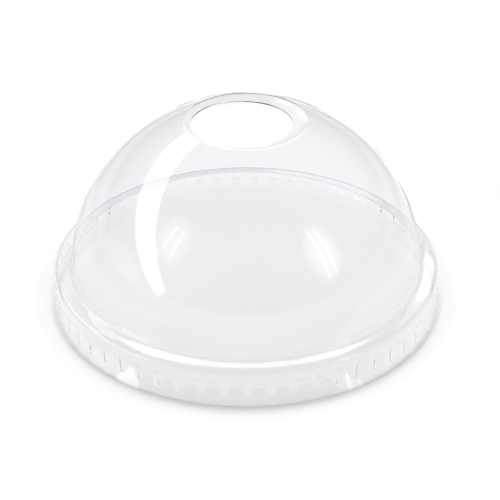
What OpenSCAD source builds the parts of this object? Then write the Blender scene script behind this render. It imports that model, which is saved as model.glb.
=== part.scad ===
// Clear dome lid for a cold drink cup, formed from one thin sheet.
// The lid stands on its skirt: Z is up and the trimmed edge lies on Z = 0.

/* [Sheet] */
// Thickness of the clear sheet after forming
wall = 0.3; // [0.2:0.05:0.5]

/* [Skirt] */
// Outer diameter of the trimmed edge
skirt_d = 103; // [98:0.5:112]
// Height of the flared skirt, up to the foot of the ledge
skirt_h = 4.2; // [3.6:0.1:5.5]
// How far the skirt draws in between edge and ledge
skirt_draw = 2.4; // [2:0.05:2.8]

/* [Snap lugs] */
// Number of teeth that part the lugs
tooth_count = 58; // [40:1:62]
// Turn of the ring of teeth about the axis
tooth_turn = 0.6; // [0:0.1:6]
// Width of a tooth at the ledge
tooth_w = 3.2; // [2.6:0.1:3.6]
// Slope of a tooth's flanks, away from the radius
flank_angle = 52; // [48:1:58]
// Overhang of the ledge over the lugs
ledge_step = 0.8; // [0.6:0.05:1]
// Rise of the sloping ledge
ledge_rise = 1.4; // [1.1:0.1:1.8]
// Fillet between ledge and lugs
ledge_fillet = 1; // [0.4:0.1:1.2]
// Rounding between ledge and bead
ledge_round = 1.5; // [0.5:0.1:2]

/* [Bead and shoulder] */
// Height of the dome's foot over the ledge's outer edge
bead_h = 3.6; // [3:0.1:5.5]
// Radius of the bead's rounded top
bead_round = 1.3; // [0.8:0.1:2.4]
// Width of the shoulder, from the bead's wall to the dome
shoulder_w = 4.4; // [3.6:0.1:6]
// Fall of the shoulder from the dome out to the bead's wall
shoulder_fall = 0.25; // [0:0.05:0.5]
// Fillet between shoulder and dome
foot_fillet = 0.5; // [0:0.1:0.8]

/* [Dome] */
// Lean of the dome's wall at its foot
dome_lean = 4; // [0:0.5:10]
// Radius of the flat panel on top
panel_r = 15.4; // [15:0.1:22]
// Rounding of the edge of the flat panel
panel_round = 2; // [0:0.2:3]

/* [Straw hole] */
// Diameter of the punched hole
hole_d = 25.4; // [12:0.1:25.8]
// Offset of the hole to the right
hole_x = -1.1; // [-1.2:0.1:1.2]
// Offset of the hole to the back
hole_y = -1.8; // [-1.9:0.1:1.9]

/* [Hidden] */
$fn = 118;
// Degrees of the dome's curve, and of a rounded corner, from one point to the next
dome_step = 3;
corner_step = 15;
// How far cutting shapes reach past the faces that they cut
past = 1;
// Depth of the teeth's roots in the wall behind them
tooth_root = 0.3;
// How far the crests stand out from the foot of the bead's wall
tooth_proud = 0.04;

skirt_r = skirt_d / 2;
// Radius of the lugs, right under the ledge
lug_r = skirt_r - skirt_draw;
bead_r = lug_r + ledge_step;
bead_z = skirt_h + ledge_rise;
shoulder_z = bead_z + bead_h;
foot_r = bead_r - shoulder_w;
// The dome is part of a sphere that leans in by dome_lean at its foot
dome_r = foot_r / cos(dome_lean);
dome_z = shoulder_z - dome_r * sin(dome_lean);
panel_angle = acos(panel_r / dome_r);
panel_z = dome_z + dome_r * sin(panel_angle);
// Where a tooth's flanks would meet
tooth_peak_r = lug_r + tooth_w / 2 / tan(flank_angle);
skirt_slope = skirt_draw / skirt_h;
// A tooth fades into the skirt where the skirt is as wide as its peak
tooth_tip_z = (skirt_r - tooth_peak_r) / skirt_slope;

// Point at distance r and angle a on a section drawn in radius and height
function polar(r, a) = [r * cos(a), r * sin(a)];
function unit(v) = v / norm(v);
// Turns a direction a quarter to its left, which is the inside of the sheet
function left(v) = [-v.y, v.x];

// The outer section from under the skirt's edge to the axis: radius, height and rounding of each corner
dome_turns = floor((panel_angle - dome_lean) / dome_step);
section = concat(
    [
        [skirt_r + past * skirt_slope, -past, 0],
        [lug_r, skirt_h, ledge_fillet],
        [bead_r, bead_z, ledge_round],
        [bead_r, shoulder_z - shoulder_fall, bead_round],
        [foot_r, shoulder_z, foot_fillet]
    ],
    [
        for (i = [1 : dome_turns - 1])
            let (p = polar(dome_r, dome_lean + i * (panel_angle - dome_lean) / dome_turns))
            [p.x, dome_z + p.y, 0]
    ],
    [
        [panel_r, panel_z, panel_round],
        [0, panel_z, 0]
    ]
);

function flat(p) = [p.x, p.y];
// Direction of the stretch that starts at corner i
function run(path, i) = unit(flat(path[i + 1]) - flat(path[i]));

// Corner i moved inwards by t, square to the stretches that meet there
function inner_corner(path, i, t) =
    i == 0 ? flat(path[0]) + t * left(run(path, 0)) :
    i == len(path) - 1 ? flat(path[i]) + t * left(run(path, i - 1)) :
    let (a = left(run(path, i - 1)), b = left(run(path, i)))
    flat(path[i]) + t * (a + b) / (1 + a * b);

// Positive where the path turns to its left
function turn(path, i) = cross(run(path, i - 1), run(path, i));

function inner_path(path, t) = [
    for (i = [0 : len(path) - 1])
        let (
            p = inner_corner(path, i, t),
            edge = i == 0 || i == len(path) - 1,
            rounding = path[i][2],
            grown = edge || rounding == 0 ? 0 : rounding - t * sign(turn(path, i))
        )
        [p.x, p.y, max(0, grown)]
];

// Arc that rounds corner i, tangent to both of its stretches
function corner_arc(path, i) =
    let (
        a = run(path, i - 1),
        b = run(path, i),
        side = sign(cross(a, b)),
        angle = acos(a * b),
        r = path[i][2],
        start = flat(path[i]) - a * r * tan(angle / 2),
        centre = start + side * r * left(a),
        steps = ceil(angle / corner_step),
        from = atan2(start.y - centre.y, start.x - centre.x)
    )
    [for (k = [0 : steps]) centre + polar(r, from + side * k * angle / steps)];

function rounded(path) = [
    for (i = [0 : len(path) - 1])
        each path[i][2] > 0 ? corner_arc(path, i) : [flat(path[i])]
];

// Solid within the sheet's outer face, with that face moved inwards by t
module turned_form(t) {
    outline = rounded(inner_path(section, t));
    rotate_extrude()
        polygon(concat([[0, outline[0].y]], outline));
}

// Star whose rays are the teeth, seen from above
module tooth_star(t) {
    peak = tooth_peak_r - t / sin(flank_angle);
    root = lug_r - t - tooth_root;
    half = atan((peak - root) * tan(flank_angle) / root);
    polygon([
        for (i = [0 : tooth_count - 1])
            let (a = tooth_turn - 90 + i * 360 / tooth_count)
            each [polar(root, a - half), polar(peak, a), polar(root, a + half)]
    ]);
}

// The teeth's crests carry the bead's wall on down to the skirt
module teeth(t) {
    low = tooth_tip_z - past;
    high = bead_z + ledge_rise / 2;
    crest_slope = (tooth_peak_r - bead_r) / (bead_z - tooth_tip_z);
    reach = bead_r + tooth_proud - t;
    intersection() {
        translate([0, 0, low])
            linear_extrude(high - low)
                tooth_star(t);
        rotate_extrude()
            polygon([
                [0, low],
                [reach + (bead_z - low) * crest_slope, low],
                [reach - (high - bead_z) * crest_slope, high],
                [0, high]
            ]);
    }
}

module form(t) {
    turned_form(t);
    teeth(t);
}

module dome_lid() {
    color("azure", 0.5)
        difference() {
            form(0);
            form(wall);
            translate([hole_x, hole_y, panel_z - wall - past])
                cylinder(h = wall + 2 * past, d = hole_d);
            translate([0, 0, -2 * past])
                cylinder(h = 2 * past, r = skirt_r + 2 * past);
        }
}

dome_lid();
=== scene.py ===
"""Looks of the clear dome lid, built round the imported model.

Lengths are in metres unless a name or a comment says otherwise. A level of 1 is white.
"""
import math

import bmesh
import bpy
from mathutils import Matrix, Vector


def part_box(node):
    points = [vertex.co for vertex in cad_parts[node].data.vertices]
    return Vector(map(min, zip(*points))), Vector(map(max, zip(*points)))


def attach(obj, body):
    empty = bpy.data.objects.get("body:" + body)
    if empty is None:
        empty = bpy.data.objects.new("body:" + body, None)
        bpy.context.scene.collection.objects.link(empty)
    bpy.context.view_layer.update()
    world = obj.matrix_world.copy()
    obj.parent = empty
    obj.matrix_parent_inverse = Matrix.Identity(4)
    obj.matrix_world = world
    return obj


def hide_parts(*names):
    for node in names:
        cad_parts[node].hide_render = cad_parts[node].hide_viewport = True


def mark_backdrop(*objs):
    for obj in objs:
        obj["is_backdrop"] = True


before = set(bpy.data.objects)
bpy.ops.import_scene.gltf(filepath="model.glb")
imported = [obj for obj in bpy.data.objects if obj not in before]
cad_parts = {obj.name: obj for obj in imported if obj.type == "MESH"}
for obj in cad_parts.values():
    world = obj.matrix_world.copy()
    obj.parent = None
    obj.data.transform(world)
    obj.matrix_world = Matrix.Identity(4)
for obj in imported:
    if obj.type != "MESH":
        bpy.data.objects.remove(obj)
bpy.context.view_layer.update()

MM = 0.001
lid_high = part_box("dome_lid")[1]

# Lid sizes
SKIRT_R = lid_high.x
HEIGHT = lid_high.z
WALL = 0.3 * MM
SKIRT_H = 4.2 * MM
SKIRT_DRAW = 2.4 * MM
LUG_R = SKIRT_R - SKIRT_DRAW
LEDGE_STEP = 0.8 * MM
LEDGE_RISE = 1.4 * MM
LEDGE_FILLET = 1 * MM
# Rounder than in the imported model, which keeps hard dashes of light off the ledge
LEDGE_ROUND = 3.2 * MM
BEAD_R = LUG_R + LEDGE_STEP
BEAD_Z = SKIRT_H + LEDGE_RISE
BEAD_H = 3.6 * MM
SHOULDER_Z = BEAD_Z + BEAD_H
BEAD_ROUND = 1.3 * MM
SHOULDER_FALL = 0.25 * MM
BEAD_WALL_Z = SHOULDER_Z - SHOULDER_FALL - BEAD_ROUND
SHOULDER_W = 4.4 * MM
FOOT_R = BEAD_R - SHOULDER_W
FOOT_FILLET = 0.5 * MM
PANEL_R = 15.4 * MM
PANEL_ROUND = 2 * MM
HOLE_R = 12.7 * MM
HOLE_AT = Vector((-1.1 * MM, -1.8 * MM))
TOOTH_COUNT = 58
TOOTH_W = 3.2 * MM
# Where one tooth's middle lies, and the slope of a tooth's flanks away from the radius
TOOTH_TURN = math.radians(-89.4)
FLANK = math.tan(math.radians(52))
TOOTH_PEAK_R = LUG_R + TOOTH_W / 2 / FLANK
SKIRT_SLOPE = (SKIRT_R - LUG_R) / SKIRT_H
TOOTH_TIP_Z = (SKIRT_R - TOOTH_PEAK_R) / SKIRT_SLOPE
CREST_SLOPE = (TOOTH_PEAK_R - BEAD_R) / (BEAD_Z - TOOTH_TIP_Z)

# Pieces of each straight stretch of the section, from the trimmed edge up
EDGE_PIECES = 4
SKIRT_PIECES = 9
LEDGE_PIECES = 2
BEAD_PIECES = 4
SHOULDER_PIECES = 3
DOME_PIECES = 20
PANEL_PIECES = 2

# Angle from one point to the next along each rounded corner of the section
LEDGE_FOOT_STEP = math.radians(14)
LEDGE_TOP_STEP = math.radians(16)
BEAD_STEP = math.radians(12)
FILLET_STEP = math.radians(15)
CREASE_STEP = math.radians(4)

# Least distance of two columns of the mesh, and their number in one pitch of the teeth
LEAST = 0.04 * MM
COLUMNS = 8
STEPS = TOOTH_COUNT * COLUMNS

# Least half width of a tooth's foot, by itself and as a multiple of the crest's
FOOT_LEAST = 2.5 * LEAST
FOOT_WIDENING = 1.15

# Play within which a vertex belongs to the flat panel, and the angle that keeps an edge sharp
FLAT_PLAY = 0.0001 * MM
SHARP_FROM = math.radians(60)

# Camera, as the photograph was taken
PHOTO_SIDE_PX = 500
FOCUS_PX = 1484.2
CAMERA_DISTANCE = 385.7 * MM
CAMERA_ELEVATION = math.radians(32.08)
CAMERA_TARGET = Vector((0.98 * MM, 0, 11.3 * MM))
CAMERA_CLEARANCE = 0.01
SENSOR_MM = 36

# Clear plastic: its index, the waviness of the drawn sheet, and its tint up to the bead and on the dome
INDEX = 1.5
WAVES_PER_METRE = 70.0
WAVE_DETAIL = 1.0
WAVE_DEPTH = 0.06 * MM
LOW_TINT = (0.985, 0.986, 0.995, 1)
DOME_TINT = (0.987, 0.988, 0.997, 1)
DRAWN_Z = (0.008, 0.03)

# Shadow of the lid: what passes the sheet, what its edges hold back, and what the skirt's front holds back
SHADOW_TINT = (0.988, 0.988, 0.996, 1)
BLACK = (0, 0, 0, 1)
EDGE_POWER = 5
EDGE_SHADE = 0.05
SKIRT_SHADE = 0.45
SKIRT_SHADE_Z = (0.0075, 0.005)
SKIRT_SHADE_Y = (0.05, 0.02)
OUTWARD = (-0.0001, 0.0001)

# Floor, just above the trimmed edge: with a gap between them, the edge and the teeth would turn black
FLOOR_R = 3
FLOOR_SIDES = 96
FLOOR_Z = 0.03 * MM
FLOOR_GLOW = 0.15
FLOOR_COLOUR = 0.85

# Painted light in the floor's colour, which the lid mirrors: brighter near the lid and behind it, darker
# further off. Each pair is where a change starts and ends
NEAR_FALL = (0.052, 0.06)
NEAR_LOSS = 0.3
FAR_FALL = (0.1, 0.22)
FAR_LOSS = 0.8
BEHIND_Y = (0.045, 0.075)
BEHIND_X = (0.1, 0.06)

# Painted shade: the floor's colour is dark before a line in front of the lid, which slants away past the
# lid's sides
FRONT_Y = 0.0585
FRONT_SOFT = (-0.002, 0.002)
FRONT_LEVEL = 0.1
SIDE_X = 0.055
LEFT_SLANT = 1.5
RIGHT_SLANT = 0.1

# Painted light and shade on the floor under the lid: its colour is brighter to the back and near both sides
# of the skirt
UNDER_LID = (0.053, 0.049)
BACKWARD_GAIN = 1.4
UNDER_LOSS = 0.02
SKIRT_SIDE_X = (0.02, 0.036)
SKIRT_SIDE_AWAY = (0.044, 0.048)
SKIRT_SIDE_GAIN = 0.04

# Painted glow on the floor round the lid, for rays from the camera straight or through the lid: it lifts the
# floor to white, less to the back and more behind the lid, and UNLIT_GLOW lifts it where its colour is
# painted dark
AROUND_LID = (0.054, 0.062)
AROUND_GLOW = 0.08
BACK_Y = (0, 0.05)
BACK_LOSS = 0.07
BEHIND_GLOW = 0.035
UNLIT_GLOW = 1.1

# Studio seen in the lid. A base level is everywhere, and the diffuse light has a level of its own
AMBIENT = 0.28
STUDIO_BASE = 0.12
STUDIO_LEVEL = 0.8
HORIZON = (0.1, 0.0)
AHEAD = (0, 0.1)
LEAST_AHEAD = 0.01

# Long curved strip, between two planes and two ends
STRIP_LOW = (0.3132, -0.4455, 0.8387)
STRIP_HIGH = (0.5234, -0.5409, 0.6583)
STRIP_ALONG = (0.5535, 0.8033, 0.2200)
STRIP_FROM = -0.90
STRIP_TO = 0.5
STRIP_SOFT = 0.012
STRIP_END_SOFT = 0.01
STRIP_LEVEL = 2.6

# Upright tubes: azimuth, lower end and upper end in degrees. A side fades over a share of the distance ahead
TUBE_SIDE = (0.022, 0.012)
TUBE_END_SOFT = 1
TUBE_LEVEL = 2
TUBES = (
    (205.5, 27.5, 42.3),
    (213.3, 26.0, 42.1),
    (326.5, 13.0, 43.0),
    (332.3, 13.0, 41.1),
)

# Soft glows and panels with edges: azimuth, height, half width and half height in degrees, and level
GLOWS = (
    (209.5, 34, 15, 17, 1.3),
    (328.5, 28, 14, 20, 1.8),
    (104, 33, 14, 12, 0.7),
    (184, 2, 26, 13, 0.65),
)
PANEL_SOFT = 0.5
PANELS = (
    (90.5, 38.5, 7.5, 7.5, 2.85),
    (98.5, 43, 3.0, 4, 2.2),
    (82.3, 41.2, 1.8, 2.3, 1.3),
    (77.5, 33.0, 3.0, 2.8, 2.2),
    (77.0, 38.5, 4.0, 2.7, 1.1),
    (85, 24, 3.5, 3.1, 1.0),
)

# Wide lobes of light: direction, power and level
LOBES = (
    ((1, 0, 0.15), 3, 0.5),
    ((-0.9, -0.4, 0.0), 4, 0.5),
    ((0, 1, 0), 3, 0.3),
)

# Lamps for the floor and its shadows: name, then azimuth, elevation and width in degrees, and level
SUNS = (
    ("top", 90, 86, 50, 0.235),
    ("back", 90, 61, 20, 0.545),
)

# Light that runs along inside the sheet needs many bounces before it leaves
BOUNCES = 32


def polar(radius, angle):
    return Vector((radius * math.cos(angle), radius * math.sin(angle)))


def corner_arc(before, corner, after, radius, step):
    """Points of the arc that rounds a corner of the section."""
    a = (corner - before).normalized()
    b = (after - corner).normalized()
    side = 1 if a.x * b.y - a.y * b.x > 0 else -1
    turn = a.angle(b)
    start = corner - a * radius * math.tan(turn / 2)
    centre = start + side * radius * Vector((-a.y, a.x))
    first = math.atan2(start.y - centre.y, start.x - centre.x)
    count = max(2, math.ceil(turn / step))
    return [centre + polar(radius, first + side * turn * k / count) for k in range(count + 1)]


def between(a, b, count):
    """Points that part a stretch into count pieces, without its ends."""
    return [a.lerp(b, k / count) for k in range(1, count)]


def dome_curve():
    """The dome's section: part of a circle through its foot and the edge of its flat panel."""
    foot = Vector((FOOT_R, SHOULDER_Z))
    top = Vector((PANEL_R, HEIGHT))
    centre_z = (foot.dot(foot) - top.dot(top)) / 2 / (foot.y - top.y)
    radius = math.hypot(foot.x, foot.y - centre_z)
    first = math.asin((foot.y - centre_z) / radius)
    last = math.acos(PANEL_R / radius)
    points = [polar(radius, first + (last - first) * k / DOME_PIECES) for k in range(1, DOME_PIECES)]
    return [Vector((p.x, p.y + centre_z)) for p in points]


def section():
    """The outer face from the skirt's edge up and in to the hole, as radius and height."""
    edge = Vector((SKIRT_R, 0))
    tip = Vector((TOOTH_PEAK_R, TOOTH_TIP_Z))
    ledge_in = Vector((LUG_R, SKIRT_H))
    ledge_out = Vector((BEAD_R, BEAD_Z))
    bead_top = Vector((BEAD_R, SHOULDER_Z - SHOULDER_FALL))
    foot = Vector((FOOT_R, SHOULDER_Z))
    panel = Vector((PANEL_R, HEIGHT))
    hole = Vector((HOLE_R, HEIGHT))
    dome = dome_curve()
    ledge_foot = corner_arc(tip, ledge_in, ledge_out, LEDGE_FILLET, LEDGE_FOOT_STEP)
    ledge_top = corner_arc(ledge_in, ledge_out, bead_top, LEDGE_ROUND, LEDGE_TOP_STEP)
    bead = corner_arc(ledge_out, bead_top, foot, BEAD_ROUND, BEAD_STEP)
    fillet = corner_arc(bead_top, foot, dome[0], FOOT_FILLET, FILLET_STEP)
    crease = corner_arc(dome[-1], panel, hole, PANEL_ROUND, CREASE_STEP)
    return [
        edge, *between(edge, tip, EDGE_PIECES), tip, *between(tip, ledge_foot[0], SKIRT_PIECES), *ledge_foot,
        *between(ledge_foot[-1], ledge_top[0], LEDGE_PIECES), *ledge_top,
        *between(ledge_top[-1], bead[0], BEAD_PIECES), *bead,
        *between(bead[-1], fillet[0], SHOULDER_PIECES), *fillet, *dome, *crease,
        *between(crease[-1], hole, PANEL_PIECES), hole,
    ]


def column_place(column, radius, height):
    """Angle from the nearest tooth's middle and radius, for a vertex of the skirt or the bead's wall."""
    half_pitch = math.pi / TOOTH_COUNT
    plain = column * half_pitch * 2 / COLUMNS
    crest = max(BEAD_R, TOOTH_PEAK_R - (height - TOOTH_TIP_Z) * CREST_SLOPE)
    crest_w = max(LEAST, (TOOTH_PEAK_R - crest) * FLANK)
    foot_w = max(FOOT_LEAST, crest_w * FOOT_WIDENING, (TOOTH_PEAK_R - radius) * FLANK)
    marks = (0, crest_w, foot_w, (foot_w + half_pitch * radius) / 2, half_pitch * radius)
    aside = marks[abs(column)]
    if height <= TOOTH_TIP_Z:
        gather = (height / TOOTH_TIP_Z) ** 2
        reach = radius
    else:
        gather = min(1, max(0, 1 - (height - BEAD_Z) / (BEAD_WALL_Z - BEAD_Z)))
        reach = max(radius, min(crest, TOOTH_PEAK_R - aside / FLANK))
    toothed = math.copysign(aside / radius, column)
    return plain + (toothed - plain) * gather, reach


def shape_teeth(bm):
    """Moves the plain skirt's vertices to the teeth between the lugs."""
    for vert in bm.verts:
        if vert.co.z > BEAD_WALL_Z:
            continue
        radius = vert.co.xy.length
        angle = math.atan2(vert.co.y, vert.co.x) - TOOTH_TURN
        index = round(angle / (2 * math.pi) * STEPS)
        tooth = math.floor((index + COLUMNS / 2) / COLUMNS)
        turn, reach = column_place(index - tooth * COLUMNS, radius, vert.co.z)
        vert.co.xy = polar(reach, tooth * 2 * math.pi / TOOTH_COUNT + TOOTH_TURN + turn)


def shift_hole(bm):
    """Moves the flat panel's inner rings towards the hole, which is punched off centre."""
    flat = [vert for vert in bm.verts if vert.co.z > HEIGHT - FLAT_PLAY]
    flat_r = max(vert.co.xy.length for vert in flat)
    for vert in flat:
        share = (flat_r - vert.co.xy.length) / (flat_r - HOLE_R)
        vert.co.xy += HOLE_AT * share


def trim_edge(shape):
    """Slides the inner edge up along the skirt's wall, so that the trimmed edge lies flat on the ground."""
    for vert in shape.vertices:
        if vert.co.z < 0:
            vert.co.xy *= 1 + vert.co.z * SKIRT_SLOPE / vert.co.xy.length
            vert.co.z = 0


def make_lid():
    """Turns the section about the axis, shapes the teeth and gives the sheet its thickness."""
    bm = bmesh.new()
    start = polar(1, TOOTH_TURN)
    verts = [bm.verts.new((p.x * start.x, p.x * start.y, p.y)) for p in section()]
    edges = [bm.edges.new(pair) for pair in zip(verts, verts[1:])]
    bmesh.ops.spin(
        bm, geom=verts + edges, axis=(0, 0, 1), cent=(0, 0, 0), angle=2 * math.pi, steps=STEPS,
        use_merge=True,
    )
    shape_teeth(bm)
    shift_hole(bm)
    bmesh.ops.recalc_face_normals(bm, faces=bm.faces)
    top = max(bm.faces, key=lambda face: face.calc_center_median().z)
    if top.normal.z < 0:
        bmesh.ops.reverse_faces(bm, faces=bm.faces)
    mesh = bpy.data.meshes.new("clear_dome_lid")
    bm.to_mesh(mesh)
    bm.free()
    lid = bpy.data.objects.new("clear_dome_lid", mesh)
    bpy.context.collection.objects.link(lid)
    sheet = lid.modifiers.new("sheet", "SOLIDIFY")
    sheet.thickness = WALL
    sheet.offset = -1
    sheet.use_even_offset = True
    bpy.context.view_layer.update()
    shape = bpy.data.meshes.new_from_object(lid.evaluated_get(bpy.context.evaluated_depsgraph_get()))
    lid.modifiers.clear()
    lid.data = shape
    trim_edge(shape)
    shape.shade_smooth()
    shape.set_sharp_from_angle(angle=SHARP_FROM)
    return lid


class Value:
    """A socket of a node tree that can be reckoned with."""

    def __init__(self, tree, socket):
        self.tree = tree
        self.socket = socket

    def node(self, kind, inputs=(), output=0, **settings):
        """Adds a node, fills its inputs by place or name, and gives one of its outputs."""
        node = self.tree.nodes.new(kind)
        for key, setting in settings.items():
            setattr(node, key, setting)
        pairs = inputs.items() if isinstance(inputs, dict) else enumerate(inputs)
        for key, given in pairs:
            if isinstance(given, Value):
                self.tree.links.new(given.socket, node.inputs[key])
            elif given is not None:
                node.inputs[key].default_value = given
        return Value(self.tree, node.outputs[output]) if node.outputs else None

    def maths(self, operation, *others):
        return self.node("ShaderNodeMath", (self, *others), operation=operation)

    def __add__(self, other):
        return self.maths("ADD", other)

    def __sub__(self, other):
        return self.maths("SUBTRACT", other)

    def __mul__(self, other):
        return self.maths("MULTIPLY", other)

    def __truediv__(self, other):
        return self.maths("DIVIDE", other)

    def __pow__(self, other):
        return self.maths("POWER", other)

    def __abs__(self):
        return self.maths("ABSOLUTE")

    def __rsub__(self, other):
        return self * -1 + other

    __radd__ = __add__
    __rmul__ = __mul__

    def at_least(self, least):
        return self.maths("MAXIMUM", least)

    def at_most_one(self):
        return self.maths("MINIMUM", 1.0)

    def step(self, low, high):
        """Rises smoothly from 0 at low to 1 at high."""
        return self.node("ShaderNodeMapRange", {0: self, 1: low, 2: high}, interpolation_type="SMOOTHSTEP")

    def dot(self, direction):
        return self.node("ShaderNodeVectorMath", (self, tuple(direction)), "Value", operation="DOT_PRODUCT")

    def parts(self):
        return [self.node("ShaderNodeSeparateXYZ", (self,), k) for k in range(3)]

    def light_path(self, *names):
        """What kind of ray asks, as the named outputs."""
        return [self.node("ShaderNodeLightPath", (), name) for name in names]


def shader(name):
    """An empty material and a handle on its nodes."""
    material = bpy.data.materials.new(name)
    material.use_nodes = True
    material.node_tree.nodes.clear()
    return material, Value(material.node_tree, None)


def clear_plastic():
    """Clear drawn sheet. Shadow rays meet a thin shade instead, which is stronger at the skirt's front."""
    material, start = shader("clear_plastic")
    place = start.node("ShaderNodeTexCoord", (), "Object")
    x, y, height = place.parts()
    waves = place.node(
        "ShaderNodeTexNoise", {"Vector": place, "Scale": WAVES_PER_METRE, "Detail": WAVE_DETAIL}, "Fac")
    relief = waves.node("ShaderNodeBump", {"Height": waves, "Strength": 1.0, "Distance": WAVE_DEPTH})
    drawn = height.step(*DRAWN_Z)
    colour = drawn.node("ShaderNodeMix", {0: drawn, 6: LOW_TINT, 7: DOME_TINT}, 2, data_type="RGBA")
    glass = start.node("ShaderNodeBsdfPrincipled", {
        "Base Color": colour,
        "Normal": relief,
        "Transmission Weight": 1.0,
        "Roughness": 0.0,
        "IOR": INDEX,
    })
    facing = start.node("ShaderNodeLayerWeight", {"Blend": 0.5}, "Facing")
    band = height.step(*SKIRT_SHADE_Z)
    front = y.step(*SKIRT_SHADE_Y)
    nx, ny = start.node("ShaderNodeNewGeometry", (), "Normal").parts()[:2]
    outer = (nx * x + ny * y).step(*OUTWARD)
    shade = facing ** EDGE_POWER * EDGE_SHADE + band * front * outer * SKIRT_SHADE
    tint = start.node("ShaderNodeBsdfTransparent", {"Color": SHADOW_TINT})
    dark = start.node("ShaderNodeBsdfTransparent", {"Color": BLACK})
    clear = shade.node("ShaderNodeMixShader", (shade, tint, dark))
    shadow = start.light_path("Is Shadow Ray")[0]
    surface = shadow.node("ShaderNodeMixShader", (shadow, glass, clear))
    start.node("ShaderNodeOutputMaterial", {"Surface": surface})
    return material


def floor_paper():
    """White paper whose colour holds painted light: bright near the lid, darker further off and in front of
    it, where only reflections show it. A glow makes up the difference for the camera.
    """
    material, start = shader("white_floor")
    x, y = start.node("ShaderNodeTexCoord", (), "Object").parts()[:2]
    away = (x * x + y * y).maths("SQRT")
    # Painted light and shade in the floor's colour: bright near the lid and behind it, darker further off,
    # dark before a line in front
    beyond_left = (-SIDE_X - x).at_least(0.0)
    beyond_right = (x - SIDE_X).at_least(0.0)
    before = y + FRONT_Y + beyond_left * LEFT_SLANT + beyond_right * RIGHT_SLANT
    behind = y.step(*BEHIND_Y) * abs(x).step(*BEHIND_X)
    painted_falloff = (1 - away.step(*NEAR_FALL) * NEAR_LOSS) * (1 - away.step(*FAR_FALL) * FAR_LOSS)
    painted_light = 1 - (1 - painted_falloff) * (1 - behind)
    painted_light = painted_light * (before.step(*FRONT_SOFT) * (1 - FRONT_LEVEL) + FRONT_LEVEL)
    # Painted light and shade under the lid: the floor's colour is brighter to the back and near the skirt's
    # sides
    aside = abs(x).step(*SKIRT_SIDE_X) * away.step(*SKIRT_SIDE_AWAY)
    middle = (y * BACKWARD_GAIN - UNDER_LOSS) * (1 - aside)
    painted_under_lid = away.step(*UNDER_LID) * (middle + aside * SKIRT_SIDE_GAIN) + 1
    camera, mirrored, through, late = start.light_path(
        "Is Camera Ray", "Is Glossy Ray", "Is Transmission Ray", "Diffuse Depth")
    first = 1 - late.at_most_one()
    seen = (camera + mirrored + through).at_most_one()
    straight = (camera + through).at_most_one() * first
    # Painted glow for the camera: lifts the floor to white round the lid and where its colour is painted
    # dark
    beyond = away.step(*AROUND_LID) * (AROUND_GLOW - y.step(*BACK_Y) * BACK_LOSS + behind * BEHIND_GLOW)
    strength = seen * FLOOR_GLOW + straight * ((1 - painted_light) * FLOOR_COLOUR * UNLIT_GLOW + beyond)
    glow = start.node("ShaderNodeEmission", {"Strength": strength})
    paper = start.node("ShaderNodeBsdfDiffuse", {"Color": painted_light * painted_under_lid * FLOOR_COLOUR})
    start.node("ShaderNodeOutputMaterial", {"Surface": start.node("ShaderNodeAddShader", (paper, glow))})
    return material


def make_floor():
    bm = bmesh.new()
    bmesh.ops.create_circle(bm, cap_ends=True, radius=FLOOR_R, segments=FLOOR_SIDES)
    mesh = bpy.data.meshes.new("floor")
    bm.to_mesh(mesh)
    bm.free()
    floor = bpy.data.objects.new("floor", mesh)
    bpy.context.collection.objects.link(floor)
    floor.data.materials.append(floor_paper())
    floor.location.z = FLOOR_Z
    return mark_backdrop(floor)


def sine(degrees):
    return math.sin(math.radians(degrees))


def sides_of(way, azimuth, height):
    """How far a direction lies to the side of, above and along a point of the sky."""
    turn = math.radians(azimuth)
    rise = math.radians(height)
    flat = Vector((math.cos(turn), math.sin(turn), 0))
    across = Vector((flat.y, -flat.x, 0))
    upward = Vector((0, 0, math.cos(rise))) - flat * math.sin(rise)
    facing = Vector((0, 0, math.sin(rise))) + flat * math.cos(rise)
    return [way.dot(direction) for direction in (across, upward, facing)]


def strip_light(way):
    along = way.dot(STRIP_ALONG)
    over = way.dot(STRIP_LOW).step(-STRIP_SOFT, STRIP_SOFT)
    under = way.dot(STRIP_HIGH).step(STRIP_SOFT, -STRIP_SOFT)
    after = along.step(STRIP_FROM - STRIP_END_SOFT, STRIP_FROM + STRIP_END_SOFT)
    until = along.step(STRIP_TO + STRIP_END_SOFT, STRIP_TO - STRIP_END_SOFT)
    return over * under * after * until * STRIP_LEVEL


def tube_light(x, y, z, azimuth, low, high):
    turn = math.radians(azimuth)
    across = x * math.sin(turn) - y * math.cos(turn)
    forward = x * math.cos(turn) + y * math.sin(turn)
    offset = abs(across / forward.at_least(LEAST_AHEAD))
    tube = offset.step(*TUBE_SIDE) * forward.step(*AHEAD)
    over = z.step(sine(low - TUBE_END_SOFT), sine(low + TUBE_END_SOFT))
    under = z.step(sine(high + TUBE_END_SOFT), sine(high - TUBE_END_SOFT))
    return tube * over * under * TUBE_LEVEL


def glow_light(way, azimuth, height, width, tall, level):
    across, upward, facing = sides_of(way, azimuth, height)
    a = across / sine(width)
    b = upward / sine(tall)
    return (a * a + b * b).step(1.0, 0.0) * facing.step(*AHEAD) * level


def panel_light(way, azimuth, height, width, tall, level):
    across, upward, facing = sides_of(way, azimuth, height)
    inside = abs(across).step(sine(width + PANEL_SOFT), sine(width - PANEL_SOFT))
    inside = inside * abs(upward).step(sine(tall + PANEL_SOFT), sine(tall - PANEL_SOFT))
    return inside * facing.step(*AHEAD) * level


def lobe_light(way, direction, power, level):
    return way.dot(Vector(direction).normalized()).at_least(0.0) ** power * level


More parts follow.
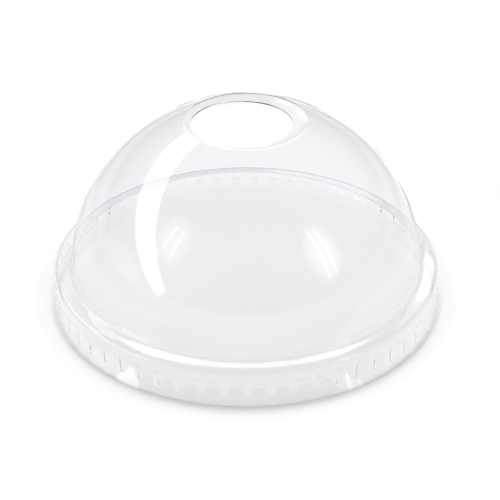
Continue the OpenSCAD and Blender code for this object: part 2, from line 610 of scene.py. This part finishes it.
def make_world():
    """The studio that the lid mirrors. The camera sees plain white instead, and diffuse light is even."""
    world = bpy.data.worlds.new("studio")
    bpy.context.scene.world = world
    world.use_nodes = True
    world.node_tree.nodes.clear()
    world.cycles.sampling_method = "NONE"
    start = Value(world.node_tree, None)
    way = start.node("ShaderNodeTexCoord", (), "Generated")
    x, y, z = way.parts()
    light = strip_light(way)
    for tube in TUBES:
        light = light + tube_light(x, y, z, *tube)
    for glow in GLOWS:
        light = light + glow_light(way, *glow)
    for panel in PANELS:
        light = light + panel_light(way, *panel)
    for lobe in LOBES:
        light = light + lobe_light(way, *lobe)
    light = (light + STUDIO_BASE) * STUDIO_LEVEL
    camera, through, late = start.light_path("Is Camera Ray", "Is Transmission Ray", "Diffuse Depth")
    late = late.at_most_one()
    seen = (camera + through * z.step(*HORIZON)).at_most_one()
    light = (light * (1 - seen) + seen) * (1 - late) + late * AMBIENT
    back = start.node("ShaderNodeBackground", {"Color": (1, 1, 1, 1), "Strength": light})
    start.node("ShaderNodeOutputWorld", {"Surface": back})


def sun(name, azimuth, elevation, angle, level):
    """Parallel light for the floor and its shadows, which the lid doesn't mirror."""
    lamp = bpy.data.lights.new(name, "SUN")
    lamp.angle = math.radians(angle)
    lamp.energy = level * math.pi
    lamp.cycles.use_multiple_importance_sampling = False
    ob = bpy.data.objects.new(name, lamp)
    rise = math.radians(elevation)
    turn = math.radians(azimuth)
    way = Vector((math.cos(turn) * math.cos(rise), math.sin(turn) * math.cos(rise), math.sin(rise)))
    ob.rotation_mode = "QUATERNION"
    ob.rotation_quaternion = way.to_track_quat("Z", "Y")
    ob.visible_glossy = False
    ob.visible_transmission = False
    ob.visible_camera = False
    bpy.context.collection.objects.link(ob)


def make_camera():
    data = bpy.data.cameras.new("camera")
    data.sensor_width = SENSOR_MM
    data.lens = FOCUS_PX / PHOTO_SIDE_PX * SENSOR_MM
    data.clip_start = CAMERA_CLEARANCE
    camera = bpy.data.objects.new("camera", data)
    back = Vector((0, -math.cos(CAMERA_ELEVATION), math.sin(CAMERA_ELEVATION)))
    camera.location = CAMERA_TARGET + CAMERA_DISTANCE * back
    camera.rotation_mode = "QUATERNION"
    camera.rotation_quaternion = back.to_track_quat("Z", "Y")
    bpy.context.collection.objects.link(camera)
    bpy.context.scene.camera = camera


make_camera()
make_world()
make_floor()
for lamp in SUNS:
    sun(*lamp)
lid = make_lid()
lid.data.materials.clear()
lid.data.materials.append(clear_plastic())
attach(lid, "root")
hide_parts("dome_lid")

cycles = bpy.context.scene.cycles
cycles.max_bounces = BOUNCES
cycles.glossy_bounces = BOUNCES
cycles.transmission_bounces = BOUNCES
bpy.context.scene.view_settings.view_transform = "Standard"
